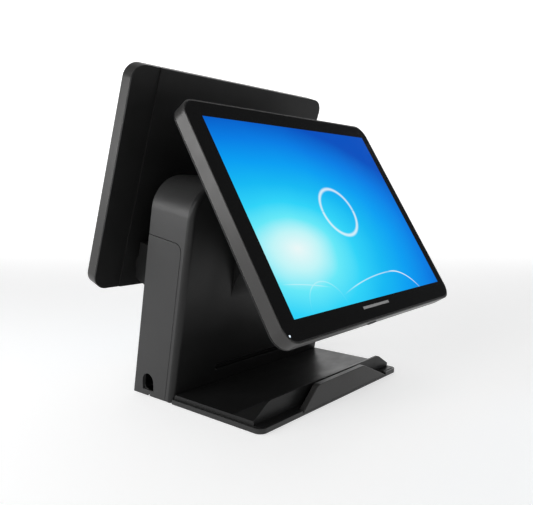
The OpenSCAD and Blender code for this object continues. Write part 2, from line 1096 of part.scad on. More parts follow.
module arm_holes(w, h) {
  for (x = [-w / 2, w / 2], y = [-h / 2, h / 2])
    translate([x, y, -100])
      cylinder(h = 200, r = arm_hole_r);
}

module operator_panel() {
  color(gloss_black)
    on_operator_head()
      difference() {
        head_panel();
        translate([0, operator_drop, 0])
          arm_holes(vesa, vesa);
      }
}

module operator_board() {
  on_operator_head()
    head_board();
}

module operator_arm() {
  color(steel)
    on_operator_arm()
      difference() {
        hinge_arm(operator_knuckle, operator_knuckle_r, operator_shaft_r, operator_plate_z,
          operator_plate, operator_plate);
        arm_holes(vesa, vesa);
      }
}

module operator_screws() {
  color(steel)
    on_operator_arm()
      arm_screws(vesa, vesa, operator_plate_z);
}

module power_button() {
  color([0.12, 0.12, 0.13])
    on_operator_head()
      block(button_x - button_w / 2, button_x + button_w / 2,
        -head_h / 2 - button_proud, -head_h / 2 - button_proud + button_l,
        button_z - button_d / 2, button_z + button_d / 2);
}

module button_spring() {
  y0 = -head_h / 2 - button_proud + button_l;
  color(steel)
    on_operator_head()
      translate([button_x, y0, button_z])
        rotate([-90, 0, 0])
          difference() {
            cylinder(h = spring_l, r = 1.6);
            translate([0, 0, -1])
              cylinder(h = spring_l + 2, r = 1);
          }
}

// ---------- customer head ----------

module customer_glass() {
  on_customer_head()
    head_glass();
}

module customer_gasket() {
  on_customer_head()
    head_gasket();
}

module customer_lcd() {
  on_customer_head()
    head_lcd();
}

module customer_rails() {
  on_customer_head()
    head_rails();
}

module customer_bezel() {
  on_customer_head()
    head_bezel();
}

module customer_housing() {
  color(gloss_black)
    on_customer_head()
      difference() {
        head_housing();
        translate([0, -customer_rise, 0])
          arm_holes(customer_hole_w, customer_hole_h);
      }
}

module customer_panel() {
  color(gloss_black)
    on_customer_head()
      difference() {
        head_panel();
        translate([0, -customer_rise, 0])
          arm_holes(customer_hole_w, customer_hole_h);
      }
}

module customer_board() {
  on_customer_head()
    head_board();
}

module customer_arm() {
  color(steel)
    on_customer_arm()
      difference() {
        hinge_arm(customer_knuckle, customer_knuckle_r, customer_shaft_r, customer_plate_z,
          customer_plate_w, customer_plate_h);
        arm_holes(customer_hole_w, customer_hole_h);
      }
}

module customer_screws() {
  color(steel)
    on_customer_arm()
      arm_screws(customer_hole_w, customer_hole_h, customer_plate_z);
}

base_plate();
base_deck();
front_lip();
rubber_feet();
base_screws();
ballast_plate();
column_shell();
column_front();
column_rear();
side_cover_left();
side_cover_right();
spine();
operator_neck();
customer_neck();
operator_bracket();
customer_bracket();
operator_shaft();
customer_shaft();
hinge_washers();
hinge_nuts();
mainboard();
heat_sink();
memory_module();
io_connectors();
drive();
power_board();
standoffs();
speakers();
operator_glass();
operator_gasket();
operator_lcd();
operator_rails();
operator_bezel();
operator_housing();
operator_panel();
operator_board();
operator_arm();
operator_screws();
status_lens();
power_button();
button_spring();
customer_glass();
customer_gasket();
customer_lcd();
customer_rails();
customer_bezel();
customer_housing();
customer_panel();
customer_board();
customer_arm();
customer_screws();
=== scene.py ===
"""Two-sided checkout terminal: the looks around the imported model. Metres, in the model's own frame."""

import json
import math

import bmesh
import bpy
from mathutils import Matrix, Vector


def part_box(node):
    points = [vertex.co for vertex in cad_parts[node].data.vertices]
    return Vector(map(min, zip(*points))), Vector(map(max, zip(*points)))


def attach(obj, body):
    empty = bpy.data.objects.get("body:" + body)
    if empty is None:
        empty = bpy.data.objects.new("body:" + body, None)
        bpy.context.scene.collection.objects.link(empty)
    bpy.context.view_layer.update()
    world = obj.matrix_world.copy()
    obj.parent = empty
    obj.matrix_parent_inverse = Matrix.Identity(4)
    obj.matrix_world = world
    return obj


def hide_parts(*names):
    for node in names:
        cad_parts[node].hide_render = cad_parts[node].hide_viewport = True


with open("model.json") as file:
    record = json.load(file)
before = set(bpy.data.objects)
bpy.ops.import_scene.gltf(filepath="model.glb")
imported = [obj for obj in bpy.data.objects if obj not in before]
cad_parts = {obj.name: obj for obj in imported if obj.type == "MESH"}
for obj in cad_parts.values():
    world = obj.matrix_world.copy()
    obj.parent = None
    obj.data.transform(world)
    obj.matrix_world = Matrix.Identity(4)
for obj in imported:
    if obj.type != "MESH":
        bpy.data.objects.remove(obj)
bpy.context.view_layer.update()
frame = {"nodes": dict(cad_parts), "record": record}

MM = 0.001
NODES = frame["nodes"]
RECORD = frame["record"]
BODY_OF = {node: body for body, members in RECORD["behaviour"]["bodies"].items() for node in members}
SLOT_OF = {part["node"]: part["material_slot"] for part in RECORD["subparts"]}

# Sizes of the heads that only the looks need, in metres
HEAD_RADIUS = 18 * MM
BAND_FILLET = 0.9 * MM
BAND_REAR_EDGE = 0.4 * MM
BAND_LIP = 0.25 * MM
BEZEL_WALL = 3 * MM
GLASS_GAP = 0.1 * MM
GLASS_FILLET = 1.1 * MM
GLASS_REAR_EDGE = 0.15 * MM
GLASS_RADIUS = HEAD_RADIUS - 1.6 * MM
BUTTON_GAP = 0.15 * MM
BUTTON_REACH = 5 * MM
LENS_GAP = 0.1 * MM
LIT_LOW = Vector((-150, -112)) * MM
LIT_HIGH = Vector((157, 115)) * MM
LIT_RADIUS = 0.3 * MM
LIT_GAP = 0.02 * MM
LIT_SINK = 0.03 * MM
DISPLAY_CASE_RADIUS = 2 * MM

# Sizes of the column's front cover
COLUMN_RADIUS = 39.5 * MM
CAP_FILLET = 6 * MM
CAP_WALL = 2.5 * MM
CAP_OVERRUN = 20 * MM
SLOT_HALF = (75 * MM, 3.25 * MM)
SLOT_HEIGHT = 44.25 * MM
SLOT_DEPTH = 5 * MM
SLOT_CHAMFER = 0.7 * MM
SLOT_LINER = 1.5 * MM
# Where the painted shade inside the slot reaches: room past its outline, and the depths behind the face
# where it starts and is full
PIT_ROOM = (1.0 * MM, 0.35 * MM)
PIT_START = 1.0 * MM
PIT_END = 2.0 * MM

# Points in a rounded stretch
CORNER_STEPS = 12
ARCH_STEPS = 16
CAP_FILLET_STEPS = 8
HOLE_STEPS = 32

# Meshes
WELD_DISTANCE = 0.002 * MM
FLAT_ANGLE = math.radians(0.5)
ROUNDED_ANGLE = math.radians(30)
SHARP_ANGLE = math.radians(35)

# Grain of the moulded surfaces, in cells per metre, and of the brushed coating
MOULD_GRAIN = 2600.0
COATING_GRAIN = 3200.0

# The two heads: the way each glass looks, roughly
GLASS_SIDES = {"operator": (0, -0.8, 0.6), "customer": (0, 0.9, 0.4)}

# The display's picture, in millimetres on the glass: the blue field's colours by distance from its glow,
# the glow's middle, the light arcs as middle, radius, width, strength and span of X, and a whole ring
FIELD_COLORS = (
    (0, (238, 252, 252)),
    (35, (196, 249, 252)),
    (68, (104, 236, 252)),
    (105, (48, 215, 252)),
    (150, (20, 188, 247)),
    (200, (4, 161, 246)),
    (255, (2, 128, 232)),
    (318, (1, 82, 194)),
)
GLOW_MIDDLE = (-98, -42)
LIGHT_ARCS = (
    ((53, -146), 61, 1.3, 0.95, (40, 112)),
    ((53, -488), 403, 1.1, 0.6, (-60, 75)),
    ((-88, -112), 31, 1.2, 0.28, (-122, -54)),
    ((-190, -560), 485, 1.0, 0.35, (-150, -70)),
)
RING = ((8, -2), 31, 3.4, 0.75)
RING_SPAN = (-50, 66)

# The plain bar printed under the display, in millimetres on the glass
BAR_MIDDLE = (-8, -119.2)
BAR_HALF = (27, 1.5)

# The viewpoint, which is the photograph's
CAMERA_AT = Vector((-0.5641, -0.4678, 0.2422))
CAMERA_YAW = math.radians(49.69)
CAMERA_PITCH = math.radians(-5.70)
CAMERA_LENS = 39.3
CAMERA_SENSOR = 36.0
CAMERA_SHIFT = -0.0045

# The studio's floor, in metres: half its width, its near and far ends along the view, and its curve up
FLOOR_HALF = 8.0
FLOOR_NEAR = -6.0
FLOOR_FAR = 5.0
FLOOR_CURVE = 2.0
FLOOR_TOP = 6.0


# ---------- shader helpers ----------

def srgb(red, green, blue):
    """A colour given as display values of 0 to 255, in linear light."""
    def linear(value):
        value /= 255
        return value / 12.92 if value <= 0.04045 else ((value + 0.055) / 1.055) ** 2.4
    return (linear(red), linear(green), linear(blue), 1.0)


def surface(name, color, roughness, metallic=0.0, **sockets):
    """A material with its Principled shader; sockets are set by name with _ for a space."""
    material = bpy.data.materials.new(name)
    material.use_nodes = True
    shader = material.node_tree.nodes["Principled BSDF"]
    shader.inputs["Base Color"].default_value = color
    shader.inputs["Roughness"].default_value = roughness
    shader.inputs["Metallic"].default_value = metallic
    for socket, value in sockets.items():
        shader.inputs[socket.replace("_", " ")].default_value = value
    return material, material.node_tree, shader


def set_input(tree, socket, value):
    """Links a socket to another node's output, or sets it to a number."""
    if isinstance(value, bpy.types.NodeSocket):
        tree.links.new(value, socket)
    else:
        socket.default_value = value


def calc(tree, operation, *values):
    """The result of a calculation on sockets or numbers."""
    node = tree.nodes.new("ShaderNodeMath")
    node.operation = operation
    for socket, value in zip(node.inputs, values):
        set_input(tree, socket, value)
    return node.outputs[0]


def distance(tree, x, y):
    """Length of the line to a point that lies x and y away."""
    squares = [calc(tree, "MULTIPLY", part, part) for part in (x, y)]
    return calc(tree, "SQRT", calc(tree, "ADD", *squares))


def ranged(tree, value, low, high, to_low, to_high, smooth=False):
    """A value that runs from low to high, rescaled to run from to_low to to_high."""
    node = tree.nodes.new("ShaderNodeMapRange")
    node.interpolation_type = "SMOOTHSTEP" if smooth else "LINEAR"
    for socket, number in zip(node.inputs[:5], (value, low, high, to_low, to_high)):
        set_input(tree, socket, number)
    return node.outputs[0]


def mixed(tree, factor, first, second):
    """The first colour where the factor is 0, and the second where it is 1."""
    node = tree.nodes.new("ShaderNodeMix")
    node.data_type = "RGBA"
    set_input(tree, node.inputs[0], factor)
    set_input(tree, node.inputs[6], first)
    set_input(tree, node.inputs[7], second)
    return node.outputs[2]


def coordinates(tree, stretch=(1, 1, 1)):
    """The piece's own coordinates, in metres, stretched along its axes."""
    place = tree.nodes.new("ShaderNodeTexCoord").outputs["Object"]
    scale = tree.nodes.new("ShaderNodeMapping")
    scale.inputs["Scale"].default_value = stretch
    tree.links.new(place, scale.inputs["Vector"])
    return scale.outputs[0]


def axes_in_mm(tree):
    """The piece's own X, Y and Z, in millimetres."""
    split = tree.nodes.new("ShaderNodeSeparateXYZ")
    tree.links.new(coordinates(tree, (1000, 1000, 1000)), split.inputs[0])
    return split.outputs


def noise(tree, scale, detail=3.0, stretch=(1, 1, 1), rough=0.55):
    """Clouds from 0 to 1."""
    node = tree.nodes.new("ShaderNodeTexNoise")
    node.inputs["Scale"].default_value = scale
    node.inputs["Detail"].default_value = detail
    node.inputs["Roughness"].default_value = rough
    tree.links.new(coordinates(tree, stretch), node.inputs["Vector"])
    return node.outputs["Fac"]


def grains(tree, scale):
    """Rounded cells, as on a spark-eroded mould."""
    node = tree.nodes.new("ShaderNodeTexVoronoi")
    node.inputs["Scale"].default_value = scale
    tree.links.new(coordinates(tree), node.inputs["Vector"])
    return node.outputs["Distance"]


def bumped(tree, shader, height, depth, strength):
    """Makes a shader's surface look uneven by a height from 0 to 1 and a depth in metres."""
    node = tree.nodes.new("ShaderNodeBump")
    node.inputs["Distance"].default_value = depth
    node.inputs["Strength"].default_value = strength
    tree.links.new(height, node.inputs["Height"])
    tree.links.new(node.outputs[0], shader.inputs["Normal"])


def edges(tree, radius):
    """1 along a piece's outer edges and 0 on its flats."""
    rounded = tree.nodes.new("ShaderNodeBevel")
    rounded.samples = 4
    rounded.inputs["Radius"].default_value = radius
    plain = tree.nodes.new("ShaderNodeNewGeometry").outputs["Normal"]
    dot = tree.nodes.new("ShaderNodeVectorMath")
    dot.operation = "DOT_PRODUCT"
    tree.links.new(rounded.outputs[0], dot.inputs[0])
    tree.links.new(plain, dot.inputs[1])
    return ranged(tree, dot.outputs["Value"], 0.995, 0.80, 0.0, 1.0)


def smeared(tree, shader, cloud, smooth, rough, low=0.3, high=0.7):
    """Gloss that follows a cloud: smooth where it is low, rough where it is high."""
    tree.links.new(ranged(tree, cloud, low, high, smooth, rough), shader.inputs["Roughness"])


def varied(tree, shader, dark, light, smooth, rough, scale=60.0):
    """Uneven colour and gloss over a surface."""
    cloud = noise(tree, scale, 4.0)
    tree.links.new(mixed(tree, cloud, dark, light), shader.inputs["Base Color"])
    smeared(tree, shader, noise(tree, scale * 0.4, 5.0, rough=0.7), smooth, rough)


def box_mask(tree, x, y, middle, half):
    """1 inside a rectangle with slightly soft edges, 0 outside; in the units of x and y."""
    past = [calc(tree, "SUBTRACT", calc(tree, "ABSOLUTE", calc(tree, "SUBTRACT", value, centre)), reach)
            for value, centre, reach in zip((x, y), middle, half)]
    return ranged(tree, calc(tree, "MAXIMUM", *past), -0.2, 0.2, 1.0, 0.0)


def circle_light(tree, x, y, middle, radius, width, strength):
    """Brightness of a thin glowing circle, and the height above its middle."""
    across, up = [calc(tree, "SUBTRACT", value, centre) for value, centre in zip((x, y), middle)]
    off = calc(tree, "ABSOLUTE", calc(tree, "SUBTRACT", distance(tree, across, up), radius))
    return ranged(tree, off, 0.0, width, strength, 0.0, smooth=True), up


def arc_light(tree, x, y, middle, radius, width, strength, span_x):
    """The upper half of a glowing circle, fading out at both ends of a span of x."""
    line, up = circle_light(tree, x, y, middle, radius, width, strength)
    low, high = span_x
    fade = (high - low) * 0.3
    rise = ranged(tree, x, low, low + fade, 0.0, 1.0, smooth=True)
    fall = ranged(tree, x, high - fade, high, 1.0, 0.0, smooth=True)
    upper = ranged(tree, up, 0.0, 2.0, 0.0, 1.0)
    return calc(tree, "MULTIPLY", calc(tree, "MULTIPLY", line, upper), calc(tree, "MULTIPLY", rise, fall))


def low_arc_light(tree, x, y, middle, radius, width, strength):
    """The lower half of a glowing circle."""
    line, up = circle_light(tree, x, y, middle, radius, width, strength)
    return calc(tree, "MULTIPLY", line, ranged(tree, up, 2.0, 0.0, 0.0, 1.0))


# ---------- materials ----------

def gray(value, warm=0.0):
    """A gray in linear light, made redder by its warmth."""
    return (value * (1 + warm), value, value * (1 - warm), 1.0)


def textured_plastic(name, value, smooth, rough, specular=0.5):
    """Moulded plastic with a fine eroded grain and slight uneven sheen."""
    material, tree, shader = surface(name, gray(value), rough, Specular_IOR_Level=specular)
    varied(tree, shader, gray(value * 0.9), gray(value * 1.1), smooth, rough)
    bumped(tree, shader, grains(tree, MOULD_GRAIN), 0.03 * MM, 0.5)
    return material


def satin_black(name, value, specular, smooth, rough, pit_shade=None):
    """Black plastic with an even soft sheen, faint flow marks and rubbed patches. Where a pit mask is
    given, shade is painted: near-black and matte.
    """
    material, tree, shader = surface(name, gray(value), rough, Specular_IOR_Level=specular)
    cloud = noise(tree, 25.0, 3.0)
    color = mixed(tree, cloud, gray(value * 0.8), gray(value * 1.25))
    rubbed = noise(tree, 24.0, 3.0, (1.0, 1.6, 1.3), 0.5)
    gloss = ranged(tree, rubbed, 0.4, 0.7, smooth, rough)
    # Painted shade: inside the pit the colour goes near-black and the surface matte.
    if pit_shade:
        inside = pit_shade(tree)
        color = mixed(tree, inside, color, gray(0.001))
        gloss = calc(tree, "MAXIMUM", gloss, calc(tree, "MULTIPLY", inside, 0.95))
    tree.links.new(color, shader.inputs["Base Color"])
    tree.links.new(gloss, shader.inputs["Roughness"])
    bumped(tree, shader, grains(tree, MOULD_GRAIN), 0.01 * MM, 0.25)
    return material


def metal_coating(name, value, smooth, rough, metallic, edge_highlight_value):
    """Satin coating with fine brushing along the band, and lighter edges: edge wear and a painted
    highlight, in patches.
    """
    material, tree, shader = surface(name, gray(value, 0.02), rough, metallic, Specular_IOR_Level=0.3)
    brushed = noise(tree, 300.0, 4.0, (0.15, 0.15, 6.0), 0.7)
    color = mixed(tree, brushed, gray(value * 0.88, 0.02), gray(value * 1.12, 0.02))
    patches = ranged(tree, noise(tree, 80.0), 0.35, 0.6, 0.4, 1.0)
    # Painted highlight: the outer edges are painted lighter, broken into worn-looking patches.
    worn_and_highlit = calc(tree, "MULTIPLY", edges(tree, 0.8 * MM), patches)
    tree.links.new(mixed(tree, worn_and_highlit, color, gray(edge_highlight_value, 0.02)), shader.inputs["Base Color"])
    smeared(tree, shader, noise(tree, 30.0, 5.0, rough=0.7), smooth, rough)
    bumped(tree, shader, grains(tree, COATING_GRAIN), 0.015 * MM, 0.4)
    return material


def sheet_steel(name, value, rough):
    """Zinc-plated or oiled steel with rolling lines and cloudy patches."""
    material, tree, shader = surface(name, gray(value), rough, 1.0)
    lines = noise(tree, 400.0, 4.0, (0.1, 1.0, 1.0), 0.7)
    clouds = noise(tree, 45.0, 4.0)
    plating = mixed(tree, clouds, gray(value * 0.75), gray(value * 1.1))
    color = mixed(tree, calc(tree, "MULTIPLY", lines, 0.4), plating, gray(value * 0.6))
    tree.links.new(color, shader.inputs["Base Color"])
    smeared(tree, shader, clouds, rough - 0.08, rough + 0.1)
    bumped(tree, shader, lines, 0.01 * MM, 0.5)
    return material


def turned_brass(name):
    """Brass with turning lines and a slightly dulled colour."""
    material, tree, shader = surface(name, (0.55, 0.38, 0.14, 1), 0.3, 1.0)
    varied(tree, shader, (0.42, 0.28, 0.10, 1), (0.62, 0.44, 0.18, 1), 0.22, 0.4, 300.0)
    bumped(tree, shader, noise(tree, 1500.0, 2.0, (8.0, 1.0, 1.0)), 0.01 * MM, 0.5)
    return material


def circuit_board(name):
    """Green solder mask with copper tracks under it and pale printed pads."""
    material, tree, shader = surface(name, (0.01, 0.12, 0.05, 1), 0.35)
    bricks = tree.nodes.new("ShaderNodeTexBrick")
    bricks.inputs["Scale"].default_value = 220.0
    bricks.inputs["Mortar Size"].default_value = 0.12
    bricks.inputs["Color1"].default_value = (0.008, 0.10, 0.045, 1)
    bricks.inputs["Color2"].default_value = (0.012, 0.14, 0.06, 1)
    bricks.inputs["Mortar"].default_value = (0.03, 0.22, 0.10, 1)
    tree.links.new(coordinates(tree, (1.0, 1.0, 1.7)), bricks.inputs["Vector"])
    pads = ranged(tree, grains(tree, 420.0), 0.12, 0.16, 1.0, 0.0)
    color = mixed(tree, pads, bricks.outputs["Color"], (0.55, 0.55, 0.50, 1))
    tree.links.new(color, shader.inputs["Base Color"])
    smeared(tree, shader, noise(tree, 200.0), 0.28, 0.45)
    bumped(tree, shader, bricks.outputs["Fac"], 0.03 * MM, 0.4)
    return material


def rubber(name, value, scale):
    """Dull rubber or foam with a coarse skin."""
    material, tree, shader = surface(name, gray(value), 0.8, Specular_IOR_Level=0.3)
    varied(tree, shader, gray(value * 0.8), gray(value * 1.25), 0.7, 0.9, 150.0)
    bumped(tree, shader, grains(tree, scale), 0.08 * MM, 0.6)
    return material


def clear_lens(name):
    """A clear light pipe with a faint white light in it."""
    material, tree, shader = surface(name, (0.75, 0.80, 0.85, 1), 0.15, Transmission_Weight=0.3)
    glow = noise(tree, 900.0, 2.0)
    color = mixed(tree, glow, srgb(150, 158, 165), srgb(190, 200, 208))
    tree.links.new(color, shader.inputs["Emission Color"])
    shader.inputs["Emission Strength"].default_value = 0.8
    smeared(tree, shader, glow, 0.1, 0.25)
    return material


def border_glass(name):
    """Black-printed cover glass: a polished face over the print, with a plain bar printed in silver."""
    material, tree, shader = surface(name, gray(0.005), 0.08, Specular_IOR_Level=0.28)
    x, y, _ = axes_in_mm(tree)
    bar = box_mask(tree, x, y, BAR_MIDDLE, BAR_HALF)
    speckle = noise(tree, 500.0, 2.0)
    printed = mixed(tree, speckle, gray(0.005), gray(0.009))
    tree.links.new(mixed(tree, bar, printed, gray(0.38)), shader.inputs["Base Color"])
    smeared(tree, shader, noise(tree, 22.0, 6.0, rough=0.75), 0.05, 0.14, 0.35, 0.75)
    bumped(tree, shader, noise(tree, 60.0, 1.0), 0.008 * MM, 0.3)
    return material


def blue_field(tree, x, y):
    """Colour of the picture's field, from the pale glow out to deep blue, with an uneven border between."""
    across, up = [calc(tree, "SUBTRACT", value, centre) for value, centre in zip((x, y), GLOW_MIDDLE)]
    stretched = calc(tree, "MAXIMUM", calc(tree, "MULTIPLY", up, 1.9), calc(tree, "MULTIPLY", up, -1.45))
    cloud = calc(tree, "SUBTRACT", noise(tree, 9.0, 2.0), 0.5)
    reach = calc(tree, "ADD", distance(tree, across, stretched), calc(tree, "MULTIPLY", cloud, 26.0))
    ramp = tree.nodes.new("ShaderNodeValToRGB")
    stops = ramp.color_ramp.elements
    longest = FIELD_COLORS[-1][0]
    while len(stops) < len(FIELD_COLORS):
        stops.new(0.5)
    for stop, (away, color) in zip(stops, FIELD_COLORS):
        stop.position = away / longest
        stop.color = srgb(*color)
    tree.links.new(calc(tree, "DIVIDE", reach, float(longest)), ramp.inputs[0])
    return ramp.outputs["Color"]


def display(name):
    """A lit display: a blue field with a pale glow, a few light arcs and a plain ring."""
    material, tree, shader = surface(name, gray(0.001), 0.12, Specular_IOR_Level=0.12)
    x, y, _ = axes_in_mm(tree)
    field = blue_field(tree, x, y)
    total = low_arc_light(tree, x, y, *RING)
    for arc in (*LIGHT_ARCS, (*RING, RING_SPAN)):
        total = calc(tree, "MAXIMUM", total, arc_light(tree, x, y, *arc))
    lit = mixed(tree, calc(tree, "MINIMUM", total, 1.0), field, (0.92, 0.99, 1.0, 1))
    tree.links.new(lit, shader.inputs["Emission Color"])
    shader.inputs["Emission Strength"].default_value = 0.96
    smeared(tree, shader, noise(tree, 22.0, 6.0, rough=0.75), 0.06, 0.14, 0.35, 0.75)
    return material


MATERIALS = {
    "gray_shell": textured_plastic("gray_shell", 0.025, 0.34, 0.44, 0.32),
    "dark_gray": textured_plastic("dark_gray", 0.015, 0.30, 0.40, 0.35),
    "gloss_black": satin_black("gloss_black", 0.010, 0.25, 0.33, 0.43),
    "black_satin": satin_black("black_satin", 0.009, 0.18, 0.36, 0.50),
    # The last number of a metal coating is the colour of its edges, where a painted highlight goes.
    "metal_band": metal_coating("metal_band", 0.045, 0.31, 0.42, 0.40, 0.22),
    "lip_metal": metal_coating("lip_metal", 0.026, 0.32, 0.42, 0.12, 0.30),
    "cover_glass": border_glass("cover_glass"),
    "screen": display("screen"),
    "foam": rubber("foam", 0.03, 1800.0),
    "rubber_black": rubber("rubber_black", 0.02, 1200.0),
    "steel_plate": sheet_steel("steel_plate", 0.55, 0.38),
    "steel_dark": sheet_steel("steel_dark", 0.30, 0.30),
    "brass": turned_brass("brass"),
    "board": circuit_board("board"),
    "heat_sink": sheet_steel("heat_sink", 0.18, 0.42),
    "port_metal": sheet_steel("port_metal", 0.62, 0.25),
    "dark_plastic": textured_plastic("dark_plastic", 0.02, 0.45, 0.60),
    "lens_clear": clear_lens("lens_clear"),
}


# ---------- mesh helpers ----------

def placed(bm, name, place=Matrix.Identity(4)):
    """An object made from a bmesh, standing in its own frame."""
    mesh = bpy.data.meshes.new(name)
    bm.to_mesh(mesh)
    bm.free()
    piece = bpy.data.objects.new(name, mesh)
    bpy.context.scene.collection.objects.link(piece)
    piece.matrix_world = place
    return piece


def applied(piece):
    """Replaces a piece's mesh by the result of its modifiers."""
    bpy.context.view_layer.update()
    shaped = piece.evaluated_get(bpy.context.evaluated_depsgraph_get())
    mesh = bpy.data.meshes.new_from_object(shaped)
    piece.modifiers.clear()
    piece.data = mesh


def smoothed(piece):
    """Smooth shading that keeps real corners sharp and flat faces flat."""
    bm = bmesh.new()
    bm.from_mesh(piece.data)
    for face in bm.faces:
        face.smooth = True
    for edge in bm.edges:
        edge.smooth = edge.is_manifold and edge.calc_face_angle(0.0) < SHARP_ANGLE
    bm.to_mesh(piece.data)
    bm.free()
    weighted = piece.modifiers.new("flat", "WEIGHTED_NORMAL")
    weighted.keep_sharp = True
    applied(piece)


def dressed(piece, node, *more):
    """Gives a piece its node's body and the material of its node's slot, and hides the CAD nodes that it
    stands for.
    """
    piece.data.materials.clear()
    piece.data.materials.append(MATERIALS[SLOT_OF[node]])
    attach(piece, BODY_OF[node])
    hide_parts(node, *more)


def refined(node, width, segments=3):
    """The CAD node's own shape with its edges rounded."""
    bm = bmesh.new()
    bm.from_mesh(NODES[node].data)
    bmesh.ops.remove_doubles(bm, verts=bm.verts, dist=WELD_DISTANCE)
    bmesh.ops.dissolve_limit(bm, angle_limit=FLAT_ANGLE, verts=bm.verts, edges=bm.edges)
    piece = placed(bm, node + "_finished")
    custom = piece.data.attributes.get("custom_normal")
    if custom:
        piece.data.attributes.remove(custom)
    rounding = piece.modifiers.new("edges", "BEVEL")
    rounding.width = width
    rounding.segments = segments
    rounding.limit_method = "ANGLE"
    rounding.angle_limit = ROUNDED_ANGLE
    applied(piece)
    smoothed(piece)
    dressed(piece, node)


def skin(name, rings, place, closed=False):
    """A closed mesh through rings of equally many points, looped or with a cap at each end."""
    bm = bmesh.new()
    loops = [[bm.verts.new(point) for point in ring] for ring in rings]
    count = len(loops[0])
    pairs = list(zip(loops, loops[1:]))
    if closed:
        pairs.append((loops[-1], loops[0]))
    else:
        bm.faces.new(loops[0])
        bm.faces.new(loops[-1])
    for first, second in pairs:
        for i in range(count):
            j = (i + 1) % count
            bm.faces.new((first[i], first[j], second[j], second[i]))
    bmesh.ops.recalc_face_normals(bm, faces=bm.faces)
    return placed(bm, name, place)


def turned(middle, radius, start, sweep, steps):
    """Points of an arc about a middle, from one angle on through a sweep."""
    x, y = middle[0], middle[1]
    angles = [start + sweep * step / steps for step in range(steps + 1)]
    return [(x + radius * math.cos(angle), y + radius * math.sin(angle)) for angle in angles]


def rounded_rect(low, high, radius, inset=0.0):
    """Points of a rounded rectangle between two corners, drawn in from its edge."""
    left, right = low.x + radius, high.x - radius
    bottom, top = low.y + radius, high.y - radius
    points = []
    for quarter, middle in enumerate(((right, top), (left, top), (left, bottom), (right, bottom))):
        points += turned(middle, radius - inset, math.pi / 2 * quarter, math.pi / 2, CORNER_STEPS)
    return points


def raised(outline, z):
    """An outline's points at a height."""
    return [(x, y, z) for x, y in outline]


def fillet(radius, steps=6):
    """Pairs of inset and drop for a quarter-round edge, from the side to the face."""
    turns = [math.pi / 2 * step / steps for step in range(steps + 1)]
    return [(radius * (1 - math.cos(turn)), radius * (1 - math.sin(turn))) for turn in turns]


def combined(piece, cutter, operation):
    """A boolean with a scratch piece, which is then removed."""
    step = piece.modifiers.new("join", "BOOLEAN")
    step.operation = operation
    step.object = cutter
    step.solver = "EXACT"
    applied(piece)
    bpy.data.objects.remove(cutter)


def facing(node, towards):
    """Outward direction of a node's largest flat face on the side that looks one way."""
    areas = {}
    for face in NODES[node].data.polygons:
        if face.normal.dot(towards) > 0.3:
            key = tuple(round(part, 3) for part in face.normal)
            areas[key] = areas.get(key, 0.0) + face.area
    return Vector(max(areas, key=areas.get)).normalized()


def span(node, place):
    """Lowest and highest corners of a node, in a frame."""
    inverse = place.inverted()
    points = [inverse @ vertex.co for vertex in NODES[node].data.vertices]
    low = Vector(min(point[i] for point in points) for i in range(3))
    high = Vector(max(point[i] for point in points) for i in range(3))
    return low, high


def head_frame(prefix, towards):
    """A head's own frame: the middle of its glass at the origin, Y up the glass and Z out of it."""
    out = facing(prefix + "_glass", Vector(towards))
    across = Vector((0, 0, 1)).cross(out).normalized()
    place = Matrix((across, out.cross(across), out)).transposed().to_4x4()
    low, high = span(prefix + "_glass", place)
    place.translation = place @ Vector(((low.x + high.x) / 2, (low.y + high.y) / 2, high.z))
    return place


# ---------- heads ----------

def drawn_in(low, high, radius, profile):
    """Rings of one rounded rectangle, each with its own inset and height."""
    return [raised(rounded_rect(low, high, radius, inset), z) for inset, z in profile]


def bezel(prefix, place):
    """The metal band: a rounded front edge, a flat side and a ledge for the glass."""
    low, high = span(prefix + "_bezel", place)
    glass_low, _ = span(prefix + "_glass", place)
    ledge = glass_low.z
    edge = glass_low.x - low.x - GLASS_GAP
    inner = edge + BEZEL_WALL
    profile = [(BAND_FILLET, low.z), (0.0, low.z + BAND_REAR_EDGE)]
    profile += [(inset, -drop) for inset, drop in fillet(BAND_FILLET)]
    profile += [(edge - BAND_LIP, 0.0), (edge, -BAND_LIP), (edge, ledge), (inner, ledge), (inner, low.z)]
    return skin(prefix + "_band", drawn_in(low, high, HEAD_RADIUS, profile), place, closed=True)


def button_opening(place):
    """A cutter for the slot in the band around the power button."""
    low, high = span("power_button", place)
    room = Vector((BUTTON_GAP, BUTTON_REACH, BUTTON_GAP))
    low, high = low - room, high + room
    corners = ((low.x, low.z), (high.x, low.z), (high.x, high.z), (low.x, high.z))
    rings = [[(x, y, z) for x, z in corners] for y in (low.y, high.y)]
    return skin("cutter", rings, place)


def lens_opening(place):
    """A cutter for the round hole in the glass around the status light."""
    low, high = span("status_lens", place)
    middle = (low + high) / 2
    radius = (high.x - low.x) / 2 + LENS_GAP
    circle = turned(middle, radius, 0.0, math.tau, HOLE_STEPS)[:-1]
    return skin("cutter", [raised(circle, z) for z in (low.z - MM, high.z + MM)], place)


def glass_border(prefix, place):
    """The cover glass's black-printed border, with a polished rounded edge."""
    low, high = span(prefix + "_glass", place)
    profile = [(GLASS_REAR_EDGE, low.z), (0.0, low.z + GLASS_REAR_EDGE)]
    profile += [(inset, -drop) for inset, drop in fillet(GLASS_FILLET)]
    rings = drawn_in(low, high, GLASS_RADIUS, profile)
    rings += [raised(rounded_rect(LIT_LOW, LIT_HIGH, LIT_RADIUS), z) for z in (0.0, low.z)]
    return skin(prefix + "_glass_border", rings, place, closed=True)


def display_panel(prefix, place):
    """The display: its tin case behind, and its lit face level with the glass."""
    low, high = span(prefix + "_lcd", place)
    gap = Vector((LIT_GAP, LIT_GAP))
    case = rounded_rect(low, high, DISPLAY_CASE_RADIUS)
    face = rounded_rect(LIT_LOW + gap, LIT_HIGH - gap, LIT_RADIUS)
    rings = [raised(case, low.z), raised(case, high.z), raised(face, high.z), raised(face, -LIT_SINK)]
    return skin(prefix + "_display", rings, place)


